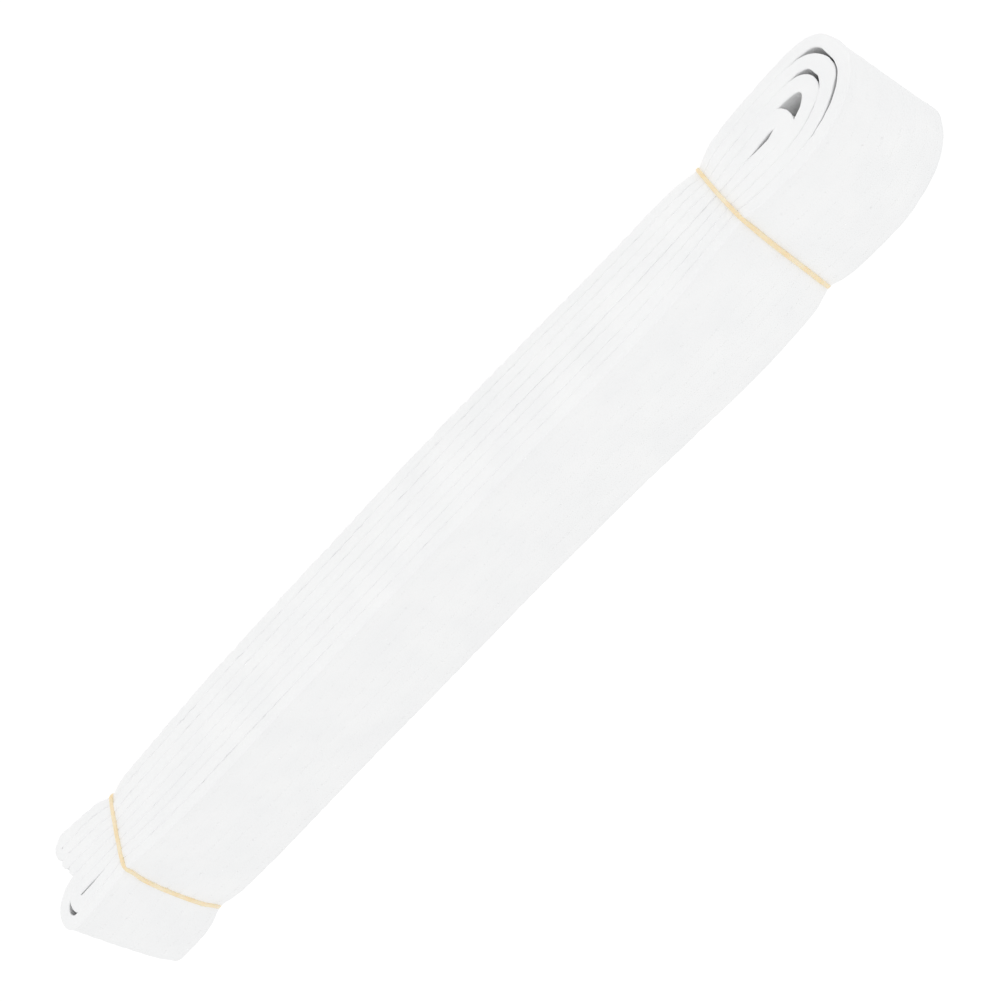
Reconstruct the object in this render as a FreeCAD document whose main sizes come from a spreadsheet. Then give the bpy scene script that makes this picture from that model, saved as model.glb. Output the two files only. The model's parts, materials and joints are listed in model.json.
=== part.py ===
"""Martial arts belt folded in eight and held by two rubber bands.

The belt is one flat strip: a woven cotton cover round a stiffening core, sewn
through with parallel rows of stitching. It is folded in half three times, so
eight panels lie on each other. Panels are numbered along the strip from one
free end to the other, and a fold is named after the two panels that it joins.

Frame: X along the bundle, with the four nested loops at -X and the two lobes
at +X. Y across the belt. Z up through the stack. The origin is the centre of
the face that the bundle rests on. Millimetres.
"""

import FreeCAD, Part
import math
import os
import Sketcher

doc = FreeCAD.newDocument("folded_belt")
sheet = doc.addObject("Spreadsheet::Sheet", "dims")

DIMENSIONS = {
    # the strip
    "belt_width": 40.0,
    "cover_wall": 0.6,
    "core_end_margin": 1.0,
    # the seams: flush threads on both faces of every layer
    "thread_width": 0.8,
    "thread_depth": 0.3,
    "row_pitch": 5.0,
    "row_count": 8,
    "tack_setback": 3.0,
    "tack_margin": 1.5,
    # height of one layer, with its share of the gap to the next one
    "pitch_middle": 3.05,
    "pitch_loop_band": 2.5,
    "pitch_loop_end": 3.05,
    "pitch_lobe_band": 2.6,
    "pitch_lobe_end": 3.05,
    "layer_gap": 0.12,
    "half_gap": 0.6,
    # where the stack changes height, along X
    "loop_lead_x": -126.0,
    "loop_band_x": -106.0,
    "shoulder_x": 60.0,
    "lobe_band_x": 120.5,
    "lobe_lead_x": 130.0,
    "pinch_length": 9.0,
    # the four loops
    "loop_fold_x": -137.5,
    "setback_34": 1.0,
    "setback_12": 3.0,
    "setback_78": 8.5,
    # the two lobes and the free ends
    "fold_67_x": 142.2,
    "fold_23_x": 138.2,
    "fold_45_x": 135.6,
    "end_1_x": 137.6,
    "end_8_x": 136.8,
    # the rubber bands
    "band_width": 1.3,
    "band_thickness": 1.1,
    "band_clearance": 0.3,
    "band_corner": 0.6,
    "loop_band_skew": 0.0,
    "lobe_band_skew": -10.0,
}
for row, (alias, size) in enumerate(DIMENSIONS.items(), start=1):
    sheet.set(f"A{row}", alias)
    sheet.set(f"B{row}", str(size))
    sheet.setAlias(f"B{row}", alias)
doc.recompute()

# The driving dimensions as they are written in expressions.
MID_HEIGHT = "(4 * dims.pitch_middle + (dims.half_gap - dims.layer_gap) / 2)"
LONGER_THAN_THE_BUNDLE = 400.0
HALF_TURN = 180.0
QUARTER_TURN = math.pi / 2
nodes = []


def half_height(level, pitch):
    """Distance from the mid-plane to the middle of a layer; level 0 lies next to the mid-plane."""
    return f"(dims.half_gap / 2 + {level + 0.5} * dims.{pitch})"


def half_thickness(pitch, inset):
    """Half of a layer's thickness, less an inset on each face."""
    return f"((dims.{pitch} - dims.layer_gap) / 2 - {inset})"


def keep(feature, label):
    """Name a finished piece, which is then one node of the part."""
    feature.Label = label
    nodes.append(feature)
    return feature


def new_body(label):
    body = doc.addObject("PartDesign::Body", "body")
    body.Label = label
    return body


def sketch_on(body, role, name):
    """A sketch on one of the body's own origin planes."""
    sketch = body.newObject("Sketcher::SketchObject", name)
    plane = next(f for f in body.Origin.OriginFeatures if f.Role == role)
    sketch.AttachmentSupport = (plane, "")
    sketch.MapMode = "FlatFace"
    return sketch


def bind(sketch, kind, references, start, expression):
    """Add one dimension and bind it to the sheet."""
    number = sketch.addConstraint(Sketcher.Constraint(kind, *references, start))
    sketch.setExpression(f"Constraints[{number}]", expression)


def pad_across(body, sketch, width):
    """Extrude a profile evenly to both sides of its own plane."""
    pad = body.newObject("PartDesign::Pad", "pad")
    pad.Profile = sketch
    pad.SideType = "Symmetric"
    pad.setExpression("Length", width)
    return body


def stations(start_x, end_x):
    """The places along X where the stack changes height, with the pitch of the layers there."""
    pinch = "dims.pinch_length / 2"
    return [
        (start_x, "pitch_loop_end"),
        ("dims.loop_lead_x", "pitch_loop_end"),
        (f"dims.loop_band_x - {pinch}", "pitch_loop_band"),
        (f"dims.loop_band_x + {pinch}", "pitch_loop_band"),
        ("-dims.shoulder_x", "pitch_middle"),
        ("dims.shoulder_x", "pitch_middle"),
        (f"dims.lobe_band_x - {pinch}", "pitch_lobe_band"),
        (f"dims.lobe_band_x + {pinch}", "pitch_lobe_band"),
        ("dims.lobe_lead_x", "pitch_lobe_end"),
        (end_x, "pitch_lobe_end"),
    ]


def panel_blank(label, sign, level, start_x, end_x, inset, width):
    """A straight layer: its side profile follows the pinched stack, padded across the belt."""
    body = new_body(label)
    sketch = sketch_on(body, "XZ_Plane", "side_profile")
    places = stations(start_x, end_x)
    corners = []
    for x, pitch in places:
        middle = f"{MID_HEIGHT} + {sign} * {half_height(level, pitch)}"
        corners.append((x, f"{middle} - {half_thickness(pitch, inset)}"))
    for x, pitch in reversed(places):
        middle = f"{MID_HEIGHT} + {sign} * {half_height(level, pitch)}"
        corners.append((x, f"{middle} + {half_thickness(pitch, inset)}"))
    count = len(corners)
    rough = [(i, 1) for i in range(count // 2)] + [(count // 2 - 1 - i, 2) for i in range(count // 2)]
    for i in range(count):
        start = FreeCAD.Vector(*rough[i], 0)
        end = FreeCAD.Vector(*rough[(i + 1) % count], 0)
        sketch.addGeometry(Part.LineSegment(start, end))
    for i in range(count):
        sketch.addConstraint(Sketcher.Constraint("Coincident", i, 2, (i + 1) % count, 1))
    for i, (x, z) in enumerate(corners):
        bind(sketch, "DistanceX", (-1, 1, i, 1), rough[i][0], x)
        bind(sketch, "DistanceY", (-1, 1, i, 1), rough[i][1], z)
    return pad_across(body, sketch, width)


def rectangle(sketch, low, high):
    """A rectangle between two corners, each an (along, up) pair of expressions."""
    rough = [(-2, -2), (-1, -2), (-1, -1), (-2, -1)]
    for i, corner in enumerate(rough):
        start = FreeCAD.Vector(*corner, 0)
        end = FreeCAD.Vector(*rough[(i + 1) % 4], 0)
        sketch.addGeometry(Part.LineSegment(start, end))
    for i in range(4):
        sketch.addConstraint(Sketcher.Constraint("Coincident", i, 2, (i + 1) % 4, 1))
        sketch.addConstraint(Sketcher.Constraint("Vertical" if i % 2 else "Horizontal", i))
    for corner, (along, up) in ((0, low), (2, high)):
        bind(sketch, "DistanceX", (-1, 1, corner, 1), rough[corner][0], along)
        bind(sketch, "DistanceY", (-1, 1, corner, 1), rough[corner][1], up)


def fold_blank(label, opens_to, centre_x, centre_z, radius, pitch, inset, width):
    """A layer turning back on itself: its section, turned through half a circle.

    opens_to is 1 when the straight layers leave it towards +X, and -1 towards -X.
    """
    body = new_body(label)
    sketch = sketch_on(body, "YZ_Plane", "section")
    sketch.setExpression("AttachmentOffset.Base.y", centre_z)
    sketch.setExpression("AttachmentOffset.Base.z", centre_x)
    half = half_thickness(pitch, inset)
    low = (f"-({width}) / 2", f"-{radius} - {half}")
    high = (f"({width}) / 2", f"-{radius} + {half}")
    rectangle(sketch, low, high)
    turn = body.newObject("PartDesign::Revolution", "turn")
    turn.Profile = sketch
    turn.ReferenceAxis = (sketch, ["H_Axis"])
    turn.Angle = HALF_TURN
    turn.Reversed = opens_to < 0
    return body


def boolean(kind, label, base, tool):
    feature = doc.addObject(f"Part::{kind}", kind.lower())
    feature.Base = base
    feature.Tool = tool
    feature.Label = label
    return feature


def box_of_rows():
    """One upright slab for each row of stitching, spaced evenly over the belt's width."""
    slabs = []
    for row in range(int(sheet.row_count)):
        slab = doc.addObject("Part::Box", "row_slab")
        slab.Length = LONGER_THAN_THE_BUNDLE
        slab.Height = LONGER_THAN_THE_BUNDLE
        slab.setExpression("Width", "dims.thread_width")
        slab.setExpression("Placement.Base.x", f"{-LONGER_THAN_THE_BUNDLE / 2}")
        from_middle = f"({row} - (dims.row_count - 1) / 2) * dims.row_pitch"
        slab.setExpression("Placement.Base.y", f"{from_middle} - dims.thread_width / 2")
        slab.setExpression("Placement.Base.z", f"{-LONGER_THAN_THE_BUNDLE / 2}")
        slabs.append(slab)
    rows = doc.addObject("Part::Compound", "rows")
    rows.Links = slabs
    return rows


def across_box(label, start_x, length, width):
    """A slab across the belt, full height, centred on the belt's width."""
    slab = doc.addObject("Part::Box", "across_box")
    slab.Label = label
    slab.Height = LONGER_THAN_THE_BUNDLE
    slab.setExpression("Length", length)
    slab.setExpression("Width", width)
    slab.setExpression("Placement.Base.x", start_x)
    slab.setExpression("Placement.Base.y", f"-({width}) / 2")
    slab.setExpression("Placement.Base.z", f"{-LONGER_THAN_THE_BUNDLE / 2}")
    return slab


stitch_rows = box_of_rows()


def sew(name, outer, seam_floor, core, free_end=None):
    """Split one stretch of belt into its cover, its core and the threads lying flush in its faces."""
    skins = boolean("Cut", f"{name}_skins", outer, seam_floor)
    inside = [core]
    if free_end:
        tack_x = f"{free_end} - dims.tack_setback"
        tack_width = "dims.belt_width - 2 * dims.tack_margin"
        tack_slab = across_box(f"{name}_tack_slab", tack_x, "dims.thread_width", tack_width)
        tack = keep(boolean("Common", "tack", skins, tack_slab), f"end_tack_{name.split('_')[-1]}")
        field_x = f"{tack_x} - {LONGER_THAN_THE_BUNDLE}"
        field = across_box(f"{name}_seam_field", field_x, f"{LONGER_THAN_THE_BUNDLE}", "dims.belt_width")
        sewn_skins = boolean("Common", f"{name}_sewn_skins", skins, field)
        threads = boolean("Common", "threads", sewn_skins, stitch_rows)
        inside.append(tack)
    else:
        threads = boolean("Common", "threads", skins, stitch_rows)
    keep(threads, f"stitching_{name}")
    inside.append(threads)
    contents = doc.addObject("Part::Compound", "contents")
    contents.Links = inside
    contents.Label = f"{name}_contents"
    keep(boolean("Cut", "cover", outer, contents), f"cover_{name}")
    keep(core, f"core_{name}")


WIDTH = "dims.belt_width"
CORE_WIDTH = "dims.belt_width - 2 * dims.cover_wall"
LOOP_X = {
    "56": "dims.loop_fold_x",
    "34": "dims.loop_fold_x + dims.setback_34",
    "12": "dims.loop_fold_x + dims.setback_12",
    "78": "dims.loop_fold_x + dims.setback_78",
}
# panel: (half of the stack, level from the mid-plane, loop at its -X end, +X end, free end)
PANELS = {
    5: (-1, 3, "56", "dims.fold_45_x", False),
    4: (-1, 2, "34", "dims.fold_45_x", False),
    1: (-1, 1, "12", "dims.end_1_x", True),
    8: (-1, 0, "78", "dims.end_8_x", True),
    7: (1, 0, "78", "dims.fold_67_x", False),
    2: (1, 1, "12", "dims.fold_23_x", False),
    3: (1, 2, "34", "dims.fold_23_x", False),
    6: (1, 3, "56", "dims.fold_67_x", False),
}


def sewn_panel(number):
    sign, level, loop, end_x, free = PANELS[number]
    name = f"panel_{number}"
    start_x = LOOP_X[loop]
    core_end = f"{end_x} - dims.core_end_margin" if free else end_x
    outer = panel_blank(f"{name}_blank", sign, level, start_x, end_x, "0", WIDTH)
    floor = panel_blank(f"{name}_floor", sign, level, start_x, end_x, "dims.thread_depth", WIDTH)
    core = panel_blank(f"{name}_core", sign, level, start_x, core_end, "dims.cover_wall", CORE_WIDTH)
    sew(name, outer, floor, core, end_x if free else None)


def sewn_fold(name, opens_to, centre_x, centre_z, radius, pitch):
    place = (opens_to, centre_x, centre_z, radius, pitch)
    outer = fold_blank(f"{name}_blank", *place, "0", WIDTH)
    floor = fold_blank(f"{name}_floor", *place, "dims.thread_depth", WIDTH)
    core = fold_blank(f"{name}_core", *place, "dims.cover_wall", CORE_WIDTH)
    sew(name, outer, floor, core)


def rounded_rectangle(sketch, half_width, half_up, wall):
    """Four sides and four corner arcs, centred on the sketch's origin, grown outward by wall."""
    rough_side, rough_corner = (10.0, 1.0) if wall == "0" else (12.0, 2.0)
    inner = rough_side - rough_corner
    turns = [(1, 1), (-1, 1), (-1, -1), (1, -1)]
    arcs = []
    for step, (u, v) in enumerate(turns):
        centre = FreeCAD.Vector(u * inner, v * inner, 0)
        circle = Part.Circle(centre, FreeCAD.Vector(0, 0, 1), rough_corner)
        arc = Part.ArcOfCircle(circle, step * QUARTER_TURN, (step + 1) * QUARTER_TURN)
        arcs.append(sketch.addGeometry(arc))
    for step, arc in enumerate(arcs):
        after = arcs[(step + 1) % 4]
        points = [sketch.getPoint(arc, 2), sketch.getPoint(after, 1)]
        side = sketch.addGeometry(Part.LineSegment(*points))
        sketch.addConstraint(Sketcher.Constraint("Tangent", arc, 2, side, 1))
        sketch.addConstraint(Sketcher.Constraint("Tangent", side, 2, after, 1))
        direction = "Horizontal" if step % 2 == 0 else "Vertical"
        sketch.addConstraint(Sketcher.Constraint(direction, side))
    radius = f"dims.band_corner + {wall}"
    for step, arc in enumerate(arcs):
        bind(sketch, "Radius", (arc,), rough_corner, radius)
        if step in (0, 2):
            u, v = turns[step]
            along = f"{u} * ({half_width} - dims.band_corner)"
            up = f"{v} * ({half_up} - dims.band_corner)"
            bind(sketch, "DistanceX", (-1, 1, arc, 3), u * inner, along)
            bind(sketch, "DistanceY", (-1, 1, arc, 3), v * inner, up)


def rubber_band(end):
    """An elastic band drawn tight round one end of the stack: a flat-sided ring with rounded corners."""
    body = new_body(f"{end}_end_band")
    sketch = sketch_on(body, "YZ_Plane", "ring")
    skew = f"dims.{end}_band_skew * 1 deg"
    half_width = f"(dims.belt_width / 2 + dims.band_clearance) / cos({skew})"
    half_stack = f"(4 * dims.pitch_{end}_band + dims.half_gap / 2 + dims.band_clearance)"
    for wall in ("0", "dims.band_thickness"):
        rounded_rectangle(sketch, half_width, half_stack, wall)
    pad_across(body, sketch, "dims.band_width")
    body.setExpression("Placement.Base.x", f"dims.{end}_band_x")
    body.setExpression("Placement.Base.z", MID_HEIGHT)
    body.setExpression("Placement.Rotation.Angle", skew)
    keep(body, body.Label)


for panel_number in sorted(PANELS):
    sewn_panel(panel_number)

# the four loops, one inside another, all bent about the mid-plane
for loop, level in (("56", 3), ("34", 2), ("12", 1), ("78", 0)):
    loop_radius = half_height(level, "pitch_loop_end")
    sewn_fold(f"fold_{loop}", 1, LOOP_X[loop], MID_HEIGHT, loop_radius, "pitch_loop_end")

# the lobes: one tight fold behind, and two folds nested in front
BACK_LOBE_Z = f"{MID_HEIGHT} - dims.half_gap / 2 - 3 * dims.pitch_lobe_end"
FRONT_LOBE_Z = f"{MID_HEIGHT} + dims.half_gap / 2 + 2 * dims.pitch_lobe_end"
TIGHT = "dims.pitch_lobe_end / 2"
WIDE = "dims.pitch_lobe_end * 1.5"
sewn_fold("fold_45", -1, "dims.fold_45_x", BACK_LOBE_Z, TIGHT, "pitch_lobe_end")
sewn_fold("fold_23", -1, "dims.fold_23_x", FRONT_LOBE_Z, TIGHT, "pitch_lobe_end")
sewn_fold("fold_67", -1, "dims.fold_67_x", FRONT_LOBE_Z, WIDE, "pitch_lobe_end")

rubber_band("loop")
rubber_band("lobe")

doc.recompute()

failed = [o.Label for o in doc.Objects if "Invalid" in o.State or "Error" in o.State]
if failed:
    raise RuntimeError(f"these objects did not compute: {failed}")
for node in nodes:
    if node.Shape.isNull() or not node.Shape.isValid() or not node.Shape.Solids:
        raise RuntimeError(f"{node.Label} has no sound solid")

os.makedirs("parts", exist_ok=True)
for node in nodes:
    node.Shape.exportStep(f"parts/{node.Label}.step")
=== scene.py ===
"""A white cotton martial arts belt, folded in eight and held by two rubber bands.

Frame (metres): X along the bundle, loops at -X and lobes at +X; Y across the belt;
Z up through the stack. The belt is one strip. Its centre line is laid out once in the
XZ plane, from the free end of panel 1 to the free end of panel 8, and sampled in even
steps called rings. Every stretch of cloth and every stitch is a slice of that line.
Face A is the face to the left of the line: the one that shows on the folded bundle.
"""

import json
import math

import bpy
import numpy as np
from mathutils import Matrix, Vector

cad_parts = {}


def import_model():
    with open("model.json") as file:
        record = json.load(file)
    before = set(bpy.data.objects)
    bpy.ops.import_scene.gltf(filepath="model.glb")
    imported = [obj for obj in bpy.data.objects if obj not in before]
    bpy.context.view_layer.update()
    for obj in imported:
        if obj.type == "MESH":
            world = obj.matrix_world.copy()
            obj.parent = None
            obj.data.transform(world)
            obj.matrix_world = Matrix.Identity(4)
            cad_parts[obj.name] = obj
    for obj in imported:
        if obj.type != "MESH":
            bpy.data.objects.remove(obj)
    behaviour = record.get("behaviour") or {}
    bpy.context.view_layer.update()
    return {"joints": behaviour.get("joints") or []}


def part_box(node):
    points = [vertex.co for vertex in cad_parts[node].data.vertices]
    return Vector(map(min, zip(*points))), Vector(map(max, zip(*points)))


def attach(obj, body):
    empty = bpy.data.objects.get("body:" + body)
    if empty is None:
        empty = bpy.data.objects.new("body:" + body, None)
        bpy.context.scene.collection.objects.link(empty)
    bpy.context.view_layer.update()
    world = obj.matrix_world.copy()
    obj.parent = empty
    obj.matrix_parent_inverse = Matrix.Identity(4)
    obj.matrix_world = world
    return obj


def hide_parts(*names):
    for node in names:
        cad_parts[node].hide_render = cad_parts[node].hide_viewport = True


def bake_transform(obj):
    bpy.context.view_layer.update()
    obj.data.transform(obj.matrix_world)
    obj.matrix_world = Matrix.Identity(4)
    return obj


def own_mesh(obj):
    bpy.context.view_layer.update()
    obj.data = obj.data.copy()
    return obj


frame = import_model()

MM = 0.001


# ---------------------------------------------------------------- sizes from the frame

def low_x(node):
    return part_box(node)[0].x


def high_x(node):
    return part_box(node)[1].x


def middle(node):
    low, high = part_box(node)
    return (low + high) / 2


UNFOLD = next(joint for joint in frame["joints"] if joint["name"] == "unfold")
HINGE_X, _, MID_Z = UNFOLD["pos_m"]
top_low, top_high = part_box("cover_panel_6")
WIDTH = top_high.y - top_low.y
HALF_STACK = top_high.z - MID_Z
HALF_GAP = 2 * (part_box("cover_panel_7")[0].z - MID_Z)
PITCH = (HALF_STACK - HALF_GAP / 2) / 4
CLOTH = PITCH
LOOP_BAND_X = middle("loop_end_band").x
LOBE_BAND_X = middle("lobe_end_band").x

STITCH = 4.3 * MM
RINGS_PER_STITCH = 11
STEP = STITCH / RINGS_PER_STITCH
SEAM_ROWS = 8
ROW_PITCH = WIDTH / SEAM_ROWS
ROWS_Y = [(row - (SEAM_ROWS - 1) / 2) * ROW_PITCH for row in range(SEAM_ROWS)]


# ---------------------------------------------------------------- small helpers

def smooth(t):
    t = np.clip(t, 0.0, 1.0)
    return t * t * (3 - 2 * t)


def ramp(x, start, end):
    return smooth((x - start) / (end - start))


def bump(distance, reach):
    return np.exp(-((distance / reach) ** 2))


def noise(u, v, seed):
    """Smooth seeded noise between -1 and 1 over a unit grid."""
    grid = np.random.default_rng(seed).uniform(-1, 1, (64, 64))
    u, v = np.broadcast_arrays(u, v)
    iu, iv = np.floor(u).astype(int), np.floor(v).astype(int)
    fu, fv = smooth(u - iu), smooth(v - iv)
    corner = [grid[(iu + a) % 64, (iv + b) % 64] for a in (0, 1) for b in (0, 1)]
    near = corner[0] * (1 - fv) + corner[1] * fv
    far = corner[2] * (1 - fv) + corner[3] * fv
    return near * (1 - fu) + far * fu


# ---------------------------------------------------------------- how the stack is squeezed

class Squeeze:
    """Where a rubber band lies and how it pinches the stack."""

    def __init__(self, x, lean, depth, far_top, inward, outward):
        self.x, self.lean, self.depth, self.far_top = x, lean, depth, far_top
        self.inward, self.outward = inward, outward

    def away(self, x, y, z):
        """Distance from the band's tilted plane, positive towards the nearer end of the bundle."""
        end = 1 if self.x > 0 else -1
        return end * (x - (self.x + self.lean[0] * y + self.lean[1] * (z - MID_Z)))

    def pinch(self, x, y, z):
        """1 under the band and 0 far from it. The pinch is wider on the near side."""
        away = self.away(x, y, z)
        near = smooth(0.5 - y / WIDTH)
        reach = np.where(away > 0, self.outward, self.inward * (0.4 + 0.6 * near))
        return np.exp(-np.maximum(np.abs(away) - 0.7 * MM, 0) / reach)

    def kept(self, x, y, z):
        """Share of the height that is left. The far top edge gives way less than the others."""
        top = smooth((z - MID_Z) / HALF_STACK)
        share = 1 - (1 - self.far_top) * top * smooth(0.5 + y / WIDTH)
        return 1 - self.depth * share * self.pinch(x, y, z)


LOOP_SQUEEZE = Squeeze(LOOP_BAND_X, (0.0, 0.0), 0.19, 0.6, 26 * MM, 6.5 * MM)
LOBE_SQUEEZE = Squeeze(LOBE_BAND_X - 0.3 * MM, (0.155, 0.19), 0.14, 0.35, 15 * MM, 7 * MM)
FULLNESS = 1.04
CLEARANCE = 0.25 * MM
MIDDLE = HALF_STACK * FULLNESS + CLEARANCE
SHEAR_LOOP = -0.095
SHEAR_LOBE = 0.15
BULGE = 0.5 * MM
CORNER_ROUND = 0.9 * MM
RIPPLE = 0.004


def shear(x):
    """Lean along X for each metre across: both ends of the bundle are slightly askew."""
    return SHEAR_LOBE * ramp(x, 45 * MM, 115 * MM) + SHEAR_LOOP * ramp(-x, 108 * MM, 140 * MM)


def bow(x):
    """The bundle rests on its ends and its middle, and arches a little in between."""
    return 1.5 * MM * bump(x + 78 * MM, 36 * MM) + 0.7 * MM * bump(x - 100 * MM, 28 * MM)


def fullness(x, y, z):
    """How much the top of the stack stands up: past the lobe band, and along the far side."""
    far = smooth(0.5 + y / WIDTH)
    top = smooth((z - MID_Z) / HALF_STACK)
    lobes = (0.04 + 0.10 * far) * ramp(x, LOBE_BAND_X, LOBE_BAND_X + 18 * MM)
    loops = 0.06 * far * ramp(-x, 35 * MM, 85 * MM) * (1 - 0.7 * ramp(-x, 128 * MM, 142 * MM))
    return 1.0 + (lobes + loops) * top


def bulge(x, across):
    """How far the lobes stand out along X: most in the middle, with a rounded far corner."""
    corner = np.clip(across, 0, 1) ** 6
    out = BULGE * (1 - across ** 2) - CORNER_ROUND * corner
    return ramp(x, LOBE_BAND_X + 6 * MM, LOBE_67_X) * out


def warp(x, y, z, s):
    """From the ideal stack to the real one: askew, squeezed by the bands, drifting sideways."""
    across = y / (WIDTH / 2)
    x = x + y * shear(x) + bulge(x, across)
    above = (z - MID_Z) / HALF_STACK
    kept = fullness(x, y, z)
    for squeeze in (LOOP_SQUEEZE, LOBE_SQUEEZE):
        kept = kept * squeeze.kept(x, y, z)
        tight = bump(squeeze.away(x, y, z), 4 * MM)
        kept = kept - tight * 0.05 * np.abs(across) ** 5
        y = y - tight * across * 0.7 * MM * (0.3 + 0.7 * np.abs(above) ** 3)
    kept = kept + RIPPLE * np.sin(x / (23 * MM) + 1.3 * across)
    kept = kept + RIPPLE * np.sin(x / (12.7 * MM) - 2.1 * across)
    z = MIDDLE + bow(x) + (z - MID_Z) * FULLNESS * kept
    drift = 0.28 * MM * noise(s / (45 * MM), 0.5, 11) + 0.10 * MM * noise(s / (11 * MM), 3.5, 12)
    return x, y + drift, z


# ---------------------------------------------------------------- the centre line of the strip

LOOP_56_X = low_x("cover_fold_56") + CLOTH / 2 + 1.0 * MM
LOOP_34_X = low_x("cover_fold_34") + CLOTH / 2 + 1.8 * MM
LOOP_12_X = low_x("cover_fold_12") + CLOTH / 2 + 1.9 * MM
LOOP_78_X = low_x("cover_fold_78") + CLOTH / 2 + 3.5 * MM
LOBE_67_X = high_x("cover_fold_67") - CLOTH / 2 - 1.2 * MM
LOBE_23_X = high_x("cover_fold_23") - CLOTH / 2 + 0.4 * MM
LOBE_45_X = high_x("cover_fold_45") - CLOTH / 2 + 2.2 * MM
END_1_X = high_x("cover_panel_1") + 3.2 * MM
END_8_X = high_x("cover_panel_8") + 3.0 * MM


MOUTH = 1.6 * MM
PARTED = 0.3 * MM
PARTED_WAY = {1: -1, 2: 1}


def slit(x):
    """The gap at the mid-plane: open just behind the innermost loop, closed along the bundle."""
    return MOUTH * ramp(-x, -HINGE_X - 24 * MM, -HINGE_X - 11 * MM)


def height(x, side, level):
    """Height of the middle of a layer. side is -1 in the back half and 1 in the front half.

    Near fold 23 the two layers that it joins part a little."""
    pitch = (HALF_STACK - slit(x) / 2) / 4
    near_fold = ramp(x, LOBE_23_X - 15 * MM, LOBE_23_X - 5 * MM) * (side > 0)
    parted = PARTED * near_fold * PARTED_WAY.get(level, 0)
    return MID_Z + side * (slit(x) / 2 + (level + 0.5) * pitch + parted)


def straight(x0, x1, side, level):
    x = np.linspace(x0, x1, 900)
    return np.stack([x, height(x, side, level), 0 * x], 1)


def quarter(start, crown, square):
    """A quarter turn from a horizontal start to a vertical crown. square above 2 fills the corner."""
    t = np.linspace(0, math.pi / 2, 160)
    x = start[0] + (crown[0] - start[0]) * np.sin(t) ** (2 / square)
    z = start[1] + (crown[1] - start[1]) * (1 - np.cos(t) ** (2 / square))
    return np.stack([x, z], 1)


def turn(start, crown, end, swell, square=(2, 2)):
    """A fold: two quarter turns that meet at the crown, where the plies puff out by swell."""
    line = np.concatenate([quarter(start, crown, square[0]), quarter(end, crown, square[1])[::-1][1:]])
    reach = np.hypot(line[:, 0] - crown[0], line[:, 1] - crown[1])
    puff = swell * bump(reach, 3.6 * MM)
    return np.column_stack([line, puff])


def at_level(x, side, level):
    return (x, float(height(np.array(x), side, level)))


# fold: (level, crown x, depth of the crown below the mid-plane, back reach, front reach,
#        puff, squareness of the back and front quarters)
LOOPS = {
    "56": (3, LOOP_56_X, 2.2 * MM, 16 * MM, 23 * MM, 0.5 * MM, (4.1, 2.0)),
    "34": (2, LOOP_34_X, 1.9 * MM, 13 * MM, 20 * MM, 1.2 * MM, (3.7, 1.95)),
    "12": (1, LOOP_12_X, 1.5 * MM, 10 * MM, 16 * MM, 1.1 * MM, (2.8, 1.9)),
    "78": (0, LOOP_78_X, 0.1 * MM, 3.6 * MM, 6 * MM, 2.0 * MM, (2.2, 2.0)),
}


def loop(name):
    """One of the nested loops, from its back leg to its front leg."""
    level, crown_x, drop, back, front, swell, square = LOOPS[name]
    start = at_level(crown_x + back, -1, level)
    end = at_level(crown_x + front, 1, level)
    return turn(start, (crown_x, MID_Z - drop), end, swell, square)


def loop_end(name, side):
    crown_x, back, front = LOOPS[name][1], LOOPS[name][3], LOOPS[name][4]
    return crown_x + (back if side < 0 else front)


def lobe(crown_x, side, levels, reach, crown_level, swell, square=(2, 2)):
    """A fold at the +X end from one level to another of the same half."""
    start = at_level(crown_x - reach[0], side, levels[0])
    end = at_level(crown_x - reach[1], side, levels[1])
    crown = (crown_x, float(height(np.array(crown_x), side, crown_level)))
    return turn(start, crown, end, swell, square)


F23_REACH = (1.9 * MM, 1.9 * MM)
F45_REACH = (1.9 * MM, 4.6 * MM)
F67_REACH = (3.6 * MM, 8.5 * MM)

STRETCHES = [
    ("panel_1", straight(END_1_X, loop_end("12", -1), -1, 1)),
    ("fold_12", loop("12")),
    ("panel_2", straight(loop_end("12", 1), LOBE_23_X - F23_REACH[0], 1, 1)),
    ("fold_23", lobe(LOBE_23_X, 1, (1, 2), F23_REACH, 1.5, 1.0 * MM)),
    ("panel_3", straight(LOBE_23_X - F23_REACH[1], loop_end("34", 1), 1, 2)),
    ("fold_34", loop("34")[::-1]),
    ("panel_4", straight(loop_end("34", -1), LOBE_45_X - F45_REACH[0], -1, 2)),
    ("fold_45", lobe(LOBE_45_X, -1, (2, 3), F45_REACH, 2.4, 1.0 * MM)),
    ("panel_5", straight(LOBE_45_X - F45_REACH[1], loop_end("56", -1), -1, 3)),
    ("fold_56", loop("56")),
    ("panel_6", straight(loop_end("56", 1), LOBE_67_X - F67_REACH[0], 1, 3)),
    ("fold_67", lobe(LOBE_67_X, 1, (3, 0), F67_REACH, 1.95, 0.35 * MM)),
    ("panel_7", straight(LOBE_67_X - F67_REACH[1], loop_end("78", 1), 1, 0)),
    ("fold_78", loop("78")[::-1]),
    ("panel_8", straight(loop_end("78", -1), END_8_X, -1, 0)),
]
# the innermost loop's stretch takes in a piece of each of its panels
LEAD_78 = 12 * MM
# the face on the outside of a fold is A for these and B for the others
OUTER_A = ("fold_12", "fold_45", "fold_56", "fold_67")


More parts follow.
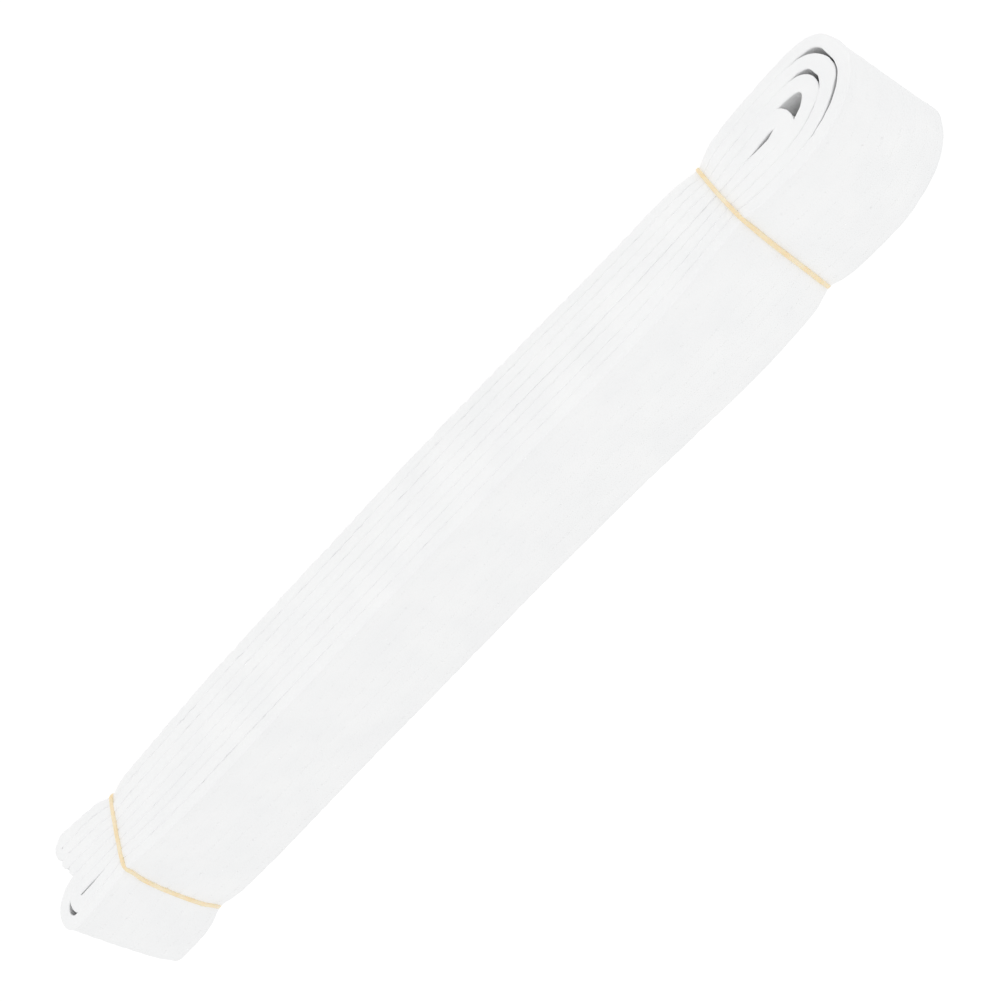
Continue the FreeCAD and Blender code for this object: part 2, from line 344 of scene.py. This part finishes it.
class Strip:
    """The whole centre line, sampled ring by ring."""

    def __init__(self):
        line, puff_a, puff_b, run, self.span = [], [], [], 0.0, {}
        for name, piece in STRETCHES:
            start = run
            if line:
                piece = piece[1:]
                run += math.hypot(*(piece[0, :2] - line[-1][-1]))
            run += float(np.hypot(*np.diff(piece[:, :2], axis=0).T).sum())
            self.span[name] = (start, run)
            line.append(piece[:, :2])
            outer, inner = piece[:, 2], 0 * piece[:, 2]
            puff_a.append(outer if name in OUTER_A else inner)
            puff_b.append(inner if name in OUTER_A else outer)
        self.share_out("panel_7", "fold_78", -LEAD_78)
        self.share_out("fold_78", "panel_8", LEAD_78)
        line = np.concatenate(line)
        length = np.concatenate([[0], np.cumsum(np.hypot(*np.diff(line, axis=0).T))])
        self.count = int(length[-1] / STEP)
        self.s = np.arange(self.count + 1) * STEP
        self.place = np.stack([np.interp(self.s, length, line[:, i]) for i in (0, 1)], 1)
        ahead = np.gradient(self.place, STEP, axis=0)
        ahead /= np.linalg.norm(ahead, axis=1)[:, None]
        self.normal = np.stack([-ahead[:, 1], ahead[:, 0]], 1)
        self.puff = {1: np.interp(self.s, length, np.concatenate(puff_a)),
                     -1: np.interp(self.s, length, np.concatenate(puff_b))}

    def share_out(self, first, second, shift):
        """Move the border between two neighbouring stretches."""
        border = self.span[second][0] + shift
        self.span[first] = (self.span[first][0], border)
        self.span[second] = (border, self.span[second][1])

    def rings(self, first, last):
        """Ring numbers from the start of one stretch to the end of another."""
        start = round(self.span[first][0] / STEP)
        end = min(round(self.span[last][1] / STEP), self.count)
        return np.arange(start, end + 1)

    def point(self, ring, y, off):
        """World points at ring numbers (which may be fractions), width y and distance off the line."""
        whole = np.arange(self.count + 1)
        px, pz, nx, nz = (np.interp(ring, whole, a) for a in (*self.place.T, *self.normal.T))
        s = ring * STEP
        return np.stack(warp(px + nx * off, y + 0 * off, pz + nz * off, s + 0 * off), -1)


strip = Strip()


# ---------------------------------------------------------------- the quilted surface

EDGE = 1.0 * MM
EDGE_STEPS = 6
HOLES = 1024
BACK_PHASE = 5
EDGE_SQUARE = 0.40
SEAM_DEPTH = 0.05 * MM
SEAM_REACH = 0.8 * MM
HOLE_DEPTH = 0.34 * MM
HOLE_REACH = 0.34 * MM
PUCKER = 0.05 * MM
PUFF = 0.02 * MM
EDGE_FULLNESS = 1.13
EDGE_PINCH = 0.11
LOOSE_PANELS = ("panel_4", "fold_45", "panel_5")
LOOSENESS = 2.2
ROW_PHASE = np.random.default_rng(21).integers(0, RINGS_PER_STITCH, SEAM_ROWS)
HOLE_SHARE = np.random.default_rng(22).uniform(0.0, 1.0, (SEAM_ROWS, HOLES)) ** 3.5


def sunk(ring, y):
    """Depth of a quilted face below a flat one."""
    s = ring * STEP
    depth = 0.0
    for row, row_y in enumerate(ROWS_Y):
        off = y - row_y
        step = (ring - ROW_PHASE[row]) / RINGS_PER_STITCH
        nearest = np.round(step).astype(int)
        along = np.abs(step - nearest) * STITCH
        share = HOLE_SHARE[row, nearest % HOLES]
        hole = bump(along, HOLE_REACH) * bump(off, HOLE_REACH) * HOLE_DEPTH * (0.12 + 0.88 * share)
        pull = bump(along, 1.1 * MM) * bump(off, 1.5 * MM) * PUCKER * (0.2 + 0.8 * share)
        tension = 0.6 + 0.7 * noise(s / (28 * MM), row + 0.5, 34)
        depth = depth + SEAM_DEPTH * tension * bump(off, SEAM_REACH) + hole + pull
    cloth = 0.06 * MM * noise(s / (5.1 * MM), y / (3.4 * MM), 31) + 0.02 * MM * noise(s / MM, y / MM, 32)
    return depth + cloth - PUFF * np.cos(2 * math.pi * y / ROW_PITCH)


def half_thickness(ring, side):
    whole = np.arange(strip.count + 1)
    return CLOTH / 2 + np.interp(ring, whole, strip.puff[side])


def face_offset(ring, y, side):
    """Distance of a face from the centre line, without its sign."""
    inside = WIDTH / 2 - EDGE
    room = np.clip((inside + 0.3 * MM - np.abs(y)) / (1.5 * MM), 0, 1)
    return half_thickness(ring, side) - sunk(ring + (0 if side > 0 else BACK_PHASE), y) * room


def looseness(ring):
    """The back panels are held less firmly, so their edges open at every stitch."""
    loose = 0
    for name in LOOSE_PANELS:
        start, end = strip.span[name]
        loose = loose + ((ring >= start / STEP) & (ring <= end / STEP))
    return 1 + (LOOSENESS - 1) * np.minimum(loose, 1)


def edge_pinch(ring, sign):
    """The stitches of the outermost row pull the belt's edge thinner at each stitch."""
    row = SEAM_ROWS - 1 if sign > 0 else 0
    step = (ring - ROW_PHASE[row]) / RINGS_PER_STITCH
    along = np.abs(step - np.round(step)) * STITCH
    share = HOLE_SHARE[row, np.round(step).astype(int) % HOLES] ** 0.4
    s = ring * STEP
    waves = 0.045 * noise(s / (7 * MM), 1.5 + sign, 33) + 0.025 * noise(s / (1.3 * MM), 4.5 + sign, 35)
    return EDGE_FULLNESS - EDGE_PINCH * looseness(ring) * bump(along, 1.0 * MM) * share + waves


def face_places(fine):
    """Sample places across a face, between the two rounded edges."""
    inside = WIDTH / 2 - EDGE
    if fine:
        offsets = np.array([-1.7, -1.1, -0.7, -0.4, -0.2, 0, 0.2, 0.4, 0.7, 1.1, 1.7]) * MM
        places = [row + offset for row in ROWS_Y for offset in offsets]
        places += [row + ROW_PITCH / 2 for row in ROWS_Y[:-1]]
    else:
        offsets = np.array([-0.8, -0.3, 0, 0.5, 1.2, 2.2]) * MM
        places = [sign * (abs(ROWS_Y[0]) - offset) for sign in (-1, 1) for offset in offsets]
        places += list(np.linspace(-12 * MM, 12 * MM, 7))
    places = [place for place in places if abs(place) < inside - 0.1 * MM]
    return np.array(sorted(places + [-inside, inside]))


def cross_section(fine_a):
    """One turn round the belt: rows of (y, share of half thickness, 1 on a face or 0 on an edge)."""
    inside = WIDTH / 2 - EDGE
    arc = np.linspace(0, math.pi, 2 * EDGE_STEPS + 1)[1:-1]
    rows = [(y, 1.0, 1) for y in face_places(fine_a)]
    out = np.sin(arc) ** EDGE_SQUARE
    share = np.sign(np.cos(arc)) * np.abs(np.cos(arc)) ** EDGE_SQUARE
    rows += [(inside + EDGE * o, c, 0) for o, c in zip(out, share)]
    rows += [(y, -1.0, 1) for y in face_places(False)[::-1]]
    rows += [(-inside - EDGE * o, -c, 0) for o, c in zip(out, share)]
    return np.array(rows[::-1])


def build_mesh(name, points, quads, caps, material, uv=None):
    """A piece made of smooth quads, closed by flat caps. Each row of caps is one polygon."""
    corners = np.concatenate([quads.ravel(), caps.ravel()]).astype(np.int32)
    mesh = bpy.data.meshes.new(name)
    mesh.vertices.add(len(points))
    mesh.vertices.foreach_set("co", points.astype(np.float32).ravel())
    mesh.loops.add(len(corners))
    mesh.loops.foreach_set("vertex_index", corners)
    mesh.polygons.add(len(quads) + len(caps))
    cap_starts = quads.size + np.arange(len(caps)) * caps.shape[1]
    starts = np.concatenate([np.arange(len(quads)) * 4, cap_starts])
    mesh.polygons.foreach_set("loop_start", starts.astype(np.int32))
    mesh.polygons.foreach_set("use_smooth", np.arange(len(quads) + len(caps)) < len(quads))
    if uv is not None:
        layer = mesh.uv_layers.new(name="cloth")
        layer.data.foreach_set("uv", uv[corners].astype(np.float32).ravel())
    mesh.materials.append(material)
    mesh.update(calc_edges=True)
    mesh.validate()
    piece = bpy.data.objects.new(name, mesh)
    bpy.context.scene.collection.objects.link(piece)
    return piece


def lattice(count, around):
    """Quads of a tube with count rings of around points."""
    a = (np.arange(count - 1)[:, None] * around + np.arange(around)).ravel()
    b = (np.arange(count - 1)[:, None] * around + (np.arange(around) + 1) % around).ravel()
    return np.stack([a, b, b + around, a + around], 1)


TIP = 1.5 * MM
BLUNT = 0.14


def cloth(name, ring, fine, material):
    """The quilted cloth over some rings, and the ring number of each of its vertices.

    Both ends are capped, and the strip's own free ends are rounded down to a blunt tip."""
    section = cross_section(fine)
    y, share, is_face = section.T
    around = len(section)
    k = ring[:, None] + 0 * y
    yy = y + 0 * k
    side = np.where(share > 0, 1, -1)
    half = np.where(side > 0, half_thickness(k, 1), half_thickness(k, -1))
    face = np.where(side > 0, face_offset(k, yy, 1), face_offset(k, yy, -1))
    edge = half * np.abs(share) * np.where(yy > 0, edge_pinch(k, 1), edge_pinch(k, -1))
    off = side * np.where(is_face > 0, face, edge)
    to_end = np.minimum(ring, strip.count - ring) * STEP
    closing = np.sqrt(np.clip(1 - (1 - np.clip(to_end / TIP, 0, 1)) ** 2, BLUNT ** 2, 1))
    points = strip.point(k, yy, off * closing[:, None]).reshape(-1, 3)
    count = len(points)
    first, last = np.arange(around), np.arange(count - around, count)
    kept = np.concatenate([np.arange(count), first[::-1], last])
    caps = count + np.arange(2 * around).reshape(2, around)
    uv = np.stack([(k * STEP).ravel(), yy.ravel()], 1)[kept] / MM
    quads = lattice(len(ring), around)
    return build_mesh(name, points[kept], quads, caps, material, uv), k.ravel()[kept]


THREAD = 0.15 * MM
THREAD_SIDES = 6
THREAD_STEPS = 7


def threads(name, paths, material):
    """Short rounded threads, and the ring number of each of their vertices.

    Each path is (ring numbers, y values, side)."""
    points, quads, caps, stations = [], [], [], []
    turn_angles = np.arange(THREAD_SIDES) * 2 * math.pi / THREAD_SIDES
    cell = lattice(THREAD_STEPS, THREAD_SIDES)
    size = THREAD_STEPS * THREAD_SIDES
    ends = np.stack([np.arange(THREAD_SIDES)[::-1], np.arange(size - THREAD_SIDES, size)])
    share = np.linspace(0, 1, THREAD_STEPS)
    rise = 1 - np.abs(2 * share - 1) ** 4
    radius = THREAD * (0.45 + 0.55 * rise)
    for ring, y, side in paths:
        across = ring[-1] == ring[0]
        lift = -0.6 * THREAD * rise - 0.22 * MM * (1 - rise)
        off = face_offset(ring, y, side) + lift
        wobble = side * (-1 if across else 1) * radius[:, None] * np.cos(turn_angles)
        high = off[:, None] + radius[:, None] * np.sin(turn_angles)
        k = ring[:, None] + (wobble / STEP if across else 0 * wobble)
        yy = y[:, None] + (0 * wobble if across else wobble)
        quads.append(cell + len(points) * size)
        caps.append(ends + len(points) * size)
        points.append(strip.point(k, yy, side * high).reshape(-1, 3))
        stations.append(k.ravel())
    points, quads, caps = (np.concatenate(parts) for parts in (points, quads, caps))
    return build_mesh(name, points, quads, caps, material), np.concatenate(stations)


def seam_paths(ring):
    """The stitches of all rows that lie wholly between two rings, on face A."""
    paths = []
    share = np.linspace(0.06, 0.94, THREAD_STEPS)
    for row, row_y in enumerate(ROWS_Y):
        first = math.ceil((ring[0] - ROW_PHASE[row]) / RINGS_PER_STITCH)
        last = math.floor((ring[-1] - ROW_PHASE[row]) / RINGS_PER_STITCH)
        for number in range(first, last):
            k = ROW_PHASE[row] + (number + share) * RINGS_PER_STITCH
            paths.append((k, row_y + 0 * k, 1))
    return paths


def tack_paths(ring):
    """A seam across the belt, close to a free end, on both faces."""
    paths = []
    share = np.linspace(0.06, 0.94, THREAD_STEPS)
    for side in (1, -1):
        for start in np.arange(-18 * MM, 15.1 * MM, 3 * MM):
            y = start + share * 3 * MM
            paths.append((ring + 0 * y, y, side))
    return paths


# ---------------------------------------------------------------- materials

def new_material(name):
    material = bpy.data.materials.new(name)
    material.use_nodes = True
    tree = material.node_tree
    return material, tree, tree.nodes["Principled BSDF"]


def add(tree, kind, **settings):
    """A shader node, with its properties and inputs set by name."""
    node = tree.nodes.new(kind)
    for key, value in settings.items():
        if hasattr(node, key):
            setattr(node, key, value)
        else:
            node.inputs[key.replace("_", " ")].default_value = value
    return node


def tone(tree, source, dark, light):
    """A colour between two tones, driven by a value."""
    node = tree.nodes.new("ShaderNodeValToRGB")
    for element, position, colour in zip(node.color_ramp.elements, (0.3, 0.7), (dark, light)):
        element.position = position
        element.color = (*colour, 1)
    tree.links.new(source, node.inputs[0])
    return node.outputs[0]


def relief(tree, source, distance, strength, under=None):
    """A bump layer, which may lie on top of another one."""
    node = add(tree, "ShaderNodeBump", Distance=distance, Strength=strength)
    tree.links.new(source, node.inputs["Height"])
    if under is not None:
        tree.links.new(under, node.inputs["Normal"])
    return node.outputs[0]


def cotton():
    """White woven cotton: fine plain weave, faint slubs and a soft nap."""
    material, tree, shader = new_material("white_cotton")
    link = tree.links.new
    uv = add(tree, "ShaderNodeUVMap", uv_map="cloth")
    weave = add(tree, "ShaderNodeMath", operation="MULTIPLY")
    for number, direction in enumerate("XY"):
        wave = add(tree, "ShaderNodeTexWave", bands_direction=direction,
                   Scale=0.52, Distortion=0.5, Detail=1.0)
        link(uv.outputs[0], wave.inputs["Vector"])
        link(wave.outputs["Fac"], weave.inputs[number])
    place = add(tree, "ShaderNodeTexCoord")
    nap = add(tree, "ShaderNodeTexNoise", Scale=1100.0, Detail=4.0)
    cloud = add(tree, "ShaderNodeTexNoise", Scale=90.0, Detail=3.0)
    for source in (nap, cloud):
        link(place.outputs["Object"], source.inputs["Vector"])
    link(tone(tree, cloud.outputs["Fac"], (0.872, 0.876, 0.880), (0.900, 0.902, 0.902)),
         shader.inputs["Base Color"])
    woven = relief(tree, weave.outputs[0], 0.08 * MM, 0.35)
    link(relief(tree, nap.outputs["Fac"], 0.12 * MM, 0.35, woven), shader.inputs["Normal"])
    shader.inputs["Roughness"].default_value = 0.95
    shader.inputs["Specular IOR Level"].default_value = 0.1
    shader.inputs["Sheen Weight"].default_value = 0.12
    shader.inputs["Sheen Roughness"].default_value = 0.5
    return material


def sewing_thread():
    """White cotton thread: a little smoother than the cloth, with a twist."""
    material, tree, shader = new_material("white_thread")
    place = add(tree, "ShaderNodeTexCoord")
    twist = add(tree, "ShaderNodeTexWave", bands_direction="DIAGONAL", Scale=700.0, Distortion=1.0)
    tree.links.new(place.outputs["Object"], twist.inputs["Vector"])
    tree.links.new(tone(tree, twist.outputs["Fac"], (0.86, 0.865, 0.87), (0.915, 0.915, 0.91)),
                   shader.inputs["Base Color"])
    tree.links.new(relief(tree, twist.outputs["Fac"], 0.05 * MM, 0.5), shader.inputs["Normal"])
    shader.inputs["Roughness"].default_value = 0.75
    shader.inputs["Sheen Weight"].default_value = 0.15
    return material


def rubber():
    """Tan natural rubber: faintly cloudy, satin, with a fine grain."""
    material, tree, shader = new_material("tan_rubber")
    link = tree.links.new
    place = add(tree, "ShaderNodeTexCoord")
    patches = add(tree, "ShaderNodeTexNoise", Scale=240.0, Detail=4.0)
    grain = add(tree, "ShaderNodeTexNoise", Scale=2600.0)
    for source in (patches, grain):
        link(place.outputs["Object"], source.inputs["Vector"])
    link(tone(tree, patches.outputs["Fac"], (0.88, 0.70, 0.42), (0.90, 0.79, 0.58)),
         shader.inputs["Base Color"])
    link(relief(tree, grain.outputs["Fac"], 0.05 * MM, 0.4), shader.inputs["Normal"])
    shader.inputs["Roughness"].default_value = 0.5
    shader.inputs["Subsurface Weight"].default_value = 0.12
    shader.inputs["Subsurface Radius"].default_value = (1.2 * MM, 0.8 * MM, 0.4 * MM)
    return material


COTTON = cotton()
THREAD_WHITE = sewing_thread()
RUBBER = rubber()


# ---------------------------------------------------------------- the belt

# rings over which the turn of a loop is averaged
SHARE_WINDOW = 9


def turned_share(name, ring):
    """Share of the unfolding turn that each ring of a loop makes, from 0 (back) to 1 (front).

    A ring stays at its own distance from the hinge. When the belt is open, the rings of
    the three outer loops lie below the hinge, and those of the innermost loop arch over it.
    """
    x = strip.place[ring, 0] - HINGE_X
    z = strip.place[ring, 1] - MID_Z
    back_first = slice(None, None, 1 if z[0] < 0 else -1)
    x, z = x[back_first], z[back_first]
    radius = np.hypot(x, z)
    if name == "fold_78":
        angle = np.arctan2(z, x)
        away = (np.arange(len(ring)) - radius.argmin()) * STEP
        rise = z[0] + (radius.min() - z[0]) * bump(away, 6 * MM)
        open_angle = np.arcsin(np.clip(rise / radius, -1, 1))
        open_angle = np.where(away > 0, math.pi - open_angle, open_angle)
    else:
        angle = np.arctan2(z, x) % (2 * math.pi)
        depth = np.minimum(-z[0], 0.9 * radius)
        limit = np.sqrt(radius ** 2 - depth ** 2)
        open_x = np.clip(np.linspace(x[0], -x[-1], len(ring)), -limit, limit)
        open_angle = 2 * math.pi - np.arccos(open_x / radius)
    share = np.clip((open_angle - angle) / math.pi, 0, 1)
    window = SHARE_WINDOW
    padded = np.concatenate([np.zeros(window // 2), share, np.ones(window // 2)])
    return np.convolve(padded, np.ones(window) / window, "valid")[back_first]


def lay(label, body, first, last, segments, fine):
    """Cloth and stitches of the strip from one stretch to another.

    With a body they ride on it, and without one they are a loop between both halves, baked in place and
    riding on neither."""
    ring = strip.rings(first, last)
    woven, woven_at = cloth(f"cloth_{label}", ring, fine, COTTON)
    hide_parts(*[f"{kind}_{segment}" for segment in segments for kind in ("cover", "core")])
    sewn, sewn_at = threads(f"stitches_{label}", seam_paths(ring), THREAD_WHITE)
    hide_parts(*[f"stitching_{segment}" for segment in segments])
    if body:
        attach(woven, body)
        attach(sewn, body)
        return
    share = turned_share(first, ring)
    for piece, at in ((woven, woven_at), (sewn, sewn_at)):
        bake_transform(piece)


lay("1", "back_half", "panel_1", "panel_1", ["panel_1"], False)
lay("2_3", "front_half", "panel_2", "panel_3", ["panel_2", "fold_23", "panel_3"], False)
lay("4_5", "back_half", "panel_4", "panel_5", ["panel_4", "fold_45", "panel_5"], True)
lay("6_7", "front_half", "panel_6", "panel_7", ["panel_6", "fold_67", "panel_7"], True)
lay("8", "back_half", "panel_8", "panel_8", ["panel_8"], True)
lay("12", None, "fold_12", "fold_12", ["fold_12"], False)
lay("34", None, "fold_34", "fold_34", ["fold_34"], False)
lay("56", None, "fold_56", "fold_56", ["fold_56"], True)
lay("78", None, "fold_78", "fold_78", ["fold_78"], True)

TACK_BACK = 3.0 * MM
for node, ring in (("end_tack_1", TACK_BACK / STEP), ("end_tack_8", strip.count - TACK_BACK / STEP)):
    tack, _ = threads(f"tack_{node[-1]}", tack_paths(ring), THREAD_WHITE)
    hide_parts(node)
    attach(tack, "back_half")


# ---------------------------------------------------------------- the rubber bands

BAND_WIDE = 1.2 * MM
BAND_HIGH = 1.0 * MM
BAND_CORNER = 1.5 * MM
BAND_SINK = 0.45 * MM
BAND_RINGS = 320
BAND_SIDES = 12


def band(name, node, body, squeeze, bow_out, seed):
    """A rubber band drawn tight round the stack: it follows the squeezed outline of the cloth."""
    half_y, half_z = WIDTH / 2, HALF_STACK
    corners = []
    for number, (u, v) in enumerate(((1, 1), (-1, 1), (-1, -1), (1, -1))):
        a = np.radians(np.linspace(0, 90, 16)) + number * math.pi / 2
        corners.append(np.stack([u * (half_y - BAND_CORNER) + BAND_CORNER * np.cos(a),
                                 v * (half_z - BAND_CORNER) + BAND_CORNER * np.sin(a)], 1))
    path = np.concatenate(corners + [corners[0][:1]])
    run = np.concatenate([[0], np.cumsum(np.hypot(*np.diff(path, axis=0).T))])
    s = np.linspace(0, run[-1], BAND_RINGS, endpoint=False)
    y, z = (np.interp(s, run, path[:, i]) for i in (0, 1))
    on_face = smooth((half_y - BAND_CORNER - np.abs(y)) / (6 * MM))
    x = squeeze.x + squeeze.lean[0] * y + squeeze.lean[1] * z
    _, y, z = warp(x - y * shear(x), y, MID_Z + z, 0 * y)
    x = x + 0.25 * MM * noise(s / (13 * MM), 2.5, seed) + bow_out * on_face * (1 - (y / half_y) ** 2)
    ahead = np.stack([np.roll(y, -1) - np.roll(y, 1), np.roll(z, -1) - np.roll(z, 1)], 1)
    ahead /= np.linalg.norm(ahead, axis=1)[:, None]
    turn_angles = np.arange(BAND_SIDES) * 2 * math.pi / BAND_SIDES
    box = [np.sign(c) * np.abs(c) ** 0.6 for c in (np.cos(turn_angles), np.sin(turn_angles))]
    wide = BAND_WIDE / 2 * (0.84 + 0.16 * on_face + 0.06 * noise(s / (9 * MM), 0.5, seed))
    out = BAND_HIGH / 2 - BAND_SINK + BAND_HIGH / 2 * box[1]
    points = np.stack([x[:, None] + wide[:, None] * box[0],
                       y[:, None] + ahead[:, 1:] * out,
                       z[:, None] - ahead[:, :1] * out], -1).reshape(-1, 3)
    quads = lattice(BAND_RINGS, BAND_SIDES)
    seam = quads[-BAND_SIDES:] + BAND_SIDES
    seam[:, 2:] %= BAND_RINGS * BAND_SIDES
    no_caps = np.zeros((0, 4), int)
    piece = build_mesh(name, points, np.concatenate([quads, seam]), no_caps, RUBBER)
    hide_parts(node)
    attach(piece, body)
    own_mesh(piece)


band("rubber_band_loop_end", "loop_end_band", "loop_band", LOOP_SQUEEZE, 0.0, 41)
band("rubber_band_lobe_end", "lobe_end_band", "lobe_band", LOBE_SQUEEZE, 1.2 * MM, 42)


# ---------------------------------------------------------------- floor, light and camera

def floor():
    """A pale table top that also glows a little, as a light table does, to keep shadows faint."""
    half = 3.0
    mesh = bpy.data.meshes.new("floor")
    corners = [(-half, -half, 0), (half, -half, 0), (half, half, 0), (-half, half, 0)]
    mesh.from_pydata(corners, [], [(0, 1, 2, 3)])
    piece = bpy.data.objects.new("floor", mesh)
    bpy.context.scene.collection.objects.link(piece)
    piece.location.z = -0.1 * MM
    material, tree, shader = new_material("floor_white")
    shader.inputs["Base Color"].default_value = (0.30, 0.30, 0.30, 1)
    shader.inputs["Roughness"].default_value = 1.0
    shader.inputs["Specular IOR Level"].default_value = 0.0
    shader.inputs["Emission Color"].default_value = (1, 1, 1, 1)
    shader.inputs["Emission Strength"].default_value = 0.76
    mesh.materials.append(material)


def light(name, size, power, place):
    lamp = bpy.data.lights.new(name, "AREA")
    lamp.size = size
    lamp.energy = power
    piece = bpy.data.objects.new(name, lamp)
    bpy.context.scene.collection.objects.link(piece)
    piece.location = place
    piece.rotation_euler = (-Vector(place)).to_track_quat("-Z", "Y").to_euler()


def world(strength):
    sky = bpy.data.worlds.new("studio")
    bpy.context.scene.world = sky
    sky.use_nodes = True
    background = sky.node_tree.nodes["Background"]
    background.inputs[0].default_value = (1, 1, 1, 1)
    background.inputs[1].default_value = strength


def camera():
    """A short telephoto lens close to the belt, rolled so that the bundle runs corner to corner."""
    aim = Vector((-0.011, 0.009, 0.0065))
    distance = 0.467
    back = Vector((-0.28875, -0.73707, 0.61103)).normalized()
    up = Vector((-0.69197, -0.28041, -0.66524)).normalized()
    right = up.cross(back).normalized()
    up = back.cross(right)
    lens = bpy.data.cameras.new("camera")
    lens.sensor_width = 36
    lens.lens = 66.5
    lens.clip_start = 0.01
    piece = bpy.data.objects.new("camera", lens)
    bpy.context.scene.collection.objects.link(piece)
    turn_matrix = Matrix((right, up, back)).transposed().to_4x4()
    piece.matrix_world = Matrix.Translation(aim + back * distance) @ turn_matrix
    bpy.context.scene.camera = piece


floor()
world(0.93)
light("key", 0.8, 1.18, (-0.2, -0.35, 1.0))
camera()
bpy.context.scene.view_settings.view_transform = "Standard"
